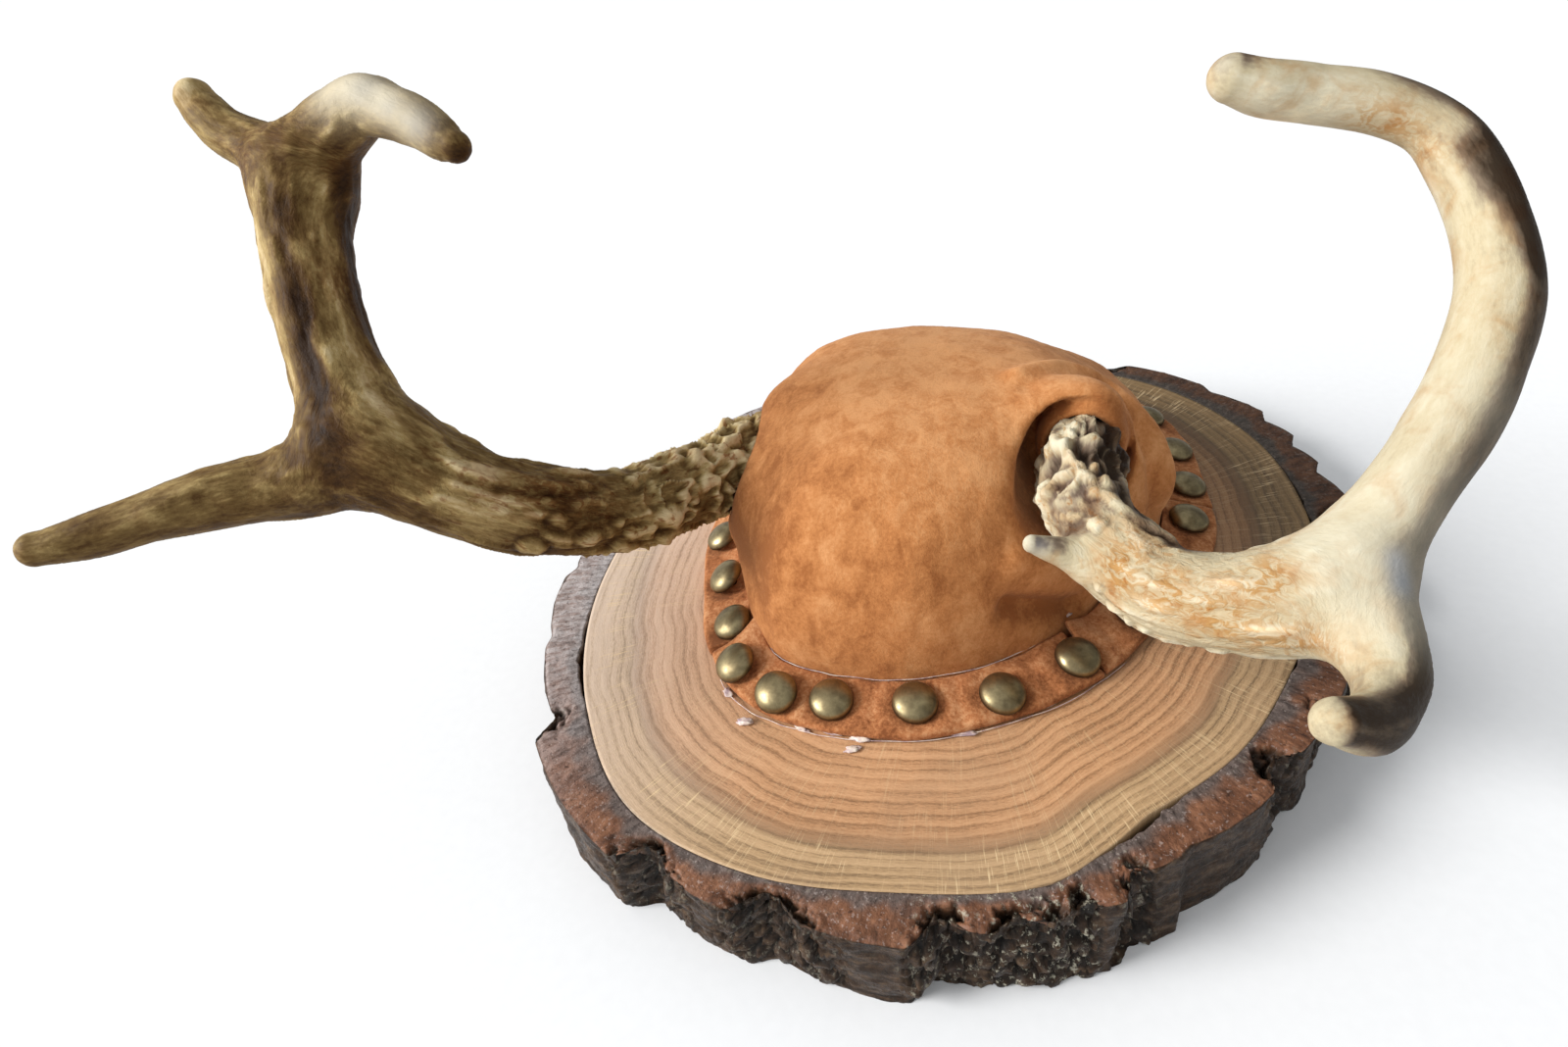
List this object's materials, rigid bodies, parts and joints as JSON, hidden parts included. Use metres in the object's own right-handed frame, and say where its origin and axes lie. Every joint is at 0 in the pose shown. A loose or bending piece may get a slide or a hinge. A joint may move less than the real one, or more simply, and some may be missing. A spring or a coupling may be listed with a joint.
{
  "type": "mounted deer antlers",
  "caption": "Deer antlers rising from a domed suede cover that is tacked to a bark-edged oak log slice, resting on the slice's flat back as a table piece or wall trophy.",
  "frame": {"origin": "middle of the log slice's flat back", "axes": "+Z from the flat back up through the cover; -Y the way both beams reach forward; +X across from the left antler to the right one"},
  "size_m": [0.2947, 0.2423, 0.1675],
  "materials": {
    "antler": "satin bone, ivory to olive brown, with dark grooves and pearls near the burr",
    "suede": "napped caramel suede",
    "tack_brass": "antique, semi-gloss",
    "wood": "sanded oak end grain, thin satin varnish",
    "bark": "rough oak bark, patchy varnish"
  },
  "bodies": {
    "root": {"wood_slice": "wood", "bark_ring": "bark", "suede_cover": "suede", "suede_band_left": "suede", "suede_band_front": "suede", "suede_band_right": "suede", "suede_band_back": "suede", "tack_01": "tack_brass", "tack_02": "tack_brass", "tack_03": "tack_brass", "tack_04": "tack_brass", "tack_05": "tack_brass", "tack_06": "tack_brass", "tack_07": "tack_brass", "tack_08": "tack_brass", "tack_09": "tack_brass", "tack_10": "tack_brass", "tack_11": "tack_brass", "tack_12": "tack_brass", "tack_13": "tack_brass", "tack_14": "tack_brass", "tack_15": "tack_brass", "tack_16": "tack_brass", "tack_17": "tack_brass", "tack_18": "tack_brass", "tack_19": "tack_brass", "tack_20": "tack_brass", "tack_21": "tack_brass", "tack_22": "tack_brass", "tack_23": "tack_brass", "left_beam": "antler", "left_forward_tine": "antler", "left_upper_beam": "antler", "left_back_tine": "antler", "left_inner_tine": "antler", "right_beam": "antler", "right_forward_tine": "antler", "right_upper_beam": "antler"}
  },
  "joints": []
}
